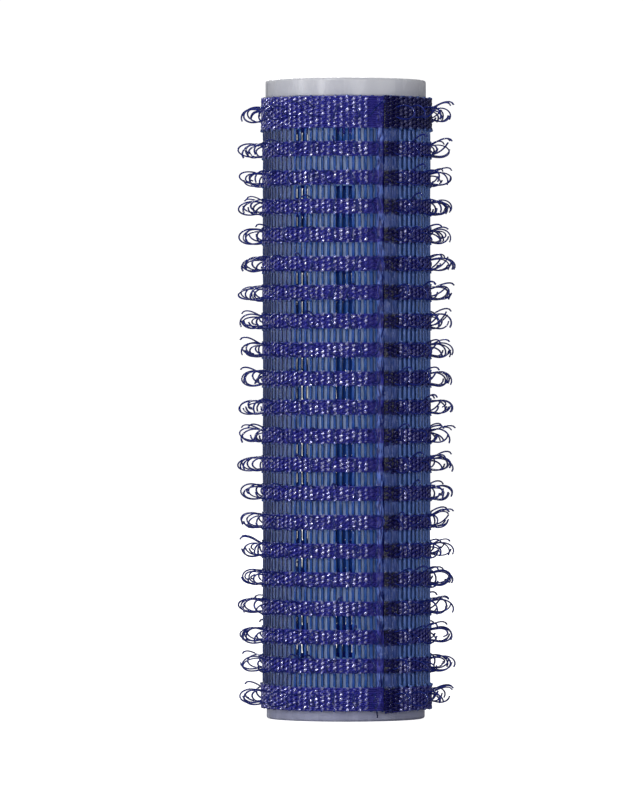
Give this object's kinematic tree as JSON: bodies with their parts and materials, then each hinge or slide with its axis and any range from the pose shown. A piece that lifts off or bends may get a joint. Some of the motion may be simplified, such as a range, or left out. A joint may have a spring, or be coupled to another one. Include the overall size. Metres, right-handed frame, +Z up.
{
  "type": "hair roller",
  "caption": "Self-grip hair roller: perforated milky plastic tube wrapped in blue woven bands that carry rows of small filament hooks.",
  "frame": {"origin": "centre of the bottom rim face of the tube", "axes": "+Z up along the tube axis, -Y is the front, +X is the side towards which the lap seam lies"},
  "size_m": [0.0209, 0.0207, 0.06],
  "materials": {
    "tube_plastic": "milky, slightly translucent moulded plastic",
    "weft_fabric": "dense navy blue woven band with a slight sheen",
    "warp_fabric": "blue multifilament yarn with a slight sheen",
    "melted_seam": "dark melted fabric bond",
    "hook_filament": "glossy dark blue monofilament"
  },
  "bodies": {
    "root": {"core_tube": "tube_plastic", "selvedge_band_bottom": "weft_fabric", "weft_band_02": "weft_fabric", "weft_band_03": "weft_fabric", "weft_band_04": "weft_fabric", "weft_band_05": "weft_fabric", "weft_band_06": "weft_fabric", "weft_band_07": "weft_fabric", "weft_band_08": "weft_fabric", "weft_band_09": "weft_fabric", "weft_band_10": "weft_fabric", "weft_band_11": "weft_fabric", "weft_band_12": "weft_fabric", "weft_band_13": "weft_fabric", "weft_band_14": "weft_fabric", "weft_band_15": "weft_fabric", "weft_band_16": "weft_fabric", "weft_band_17": "weft_fabric", "weft_band_18": "weft_fabric", "weft_band_19": "weft_fabric", "weft_band_20": "weft_fabric", "selvedge_band_top": "weft_fabric", "warp_yarns": "warp_fabric", "seam_weld": "melted_seam", "hook_row_01": "hook_filament", "hook_row_02": "hook_filament", "hook_row_03": "hook_filament", "hook_row_04": "hook_filament", "hook_row_05": "hook_filament", "hook_row_06": "hook_filament", "hook_row_07": "hook_filament", "hook_row_08": "hook_filament", "hook_row_09": "hook_filament", "hook_row_10": "hook_filament", "hook_row_11": "hook_filament", "hook_row_12": "hook_filament", "hook_row_13": "hook_filament", "hook_row_14": "hook_filament", "hook_row_15": "hook_filament", "hook_row_16": "hook_filament", "hook_row_17": "hook_filament", "hook_row_18": "hook_filament", "hook_row_19": "hook_filament", "hook_row_20": "hook_filament", "hook_row_21": "hook_filament"}
  },
  "joints": []
}
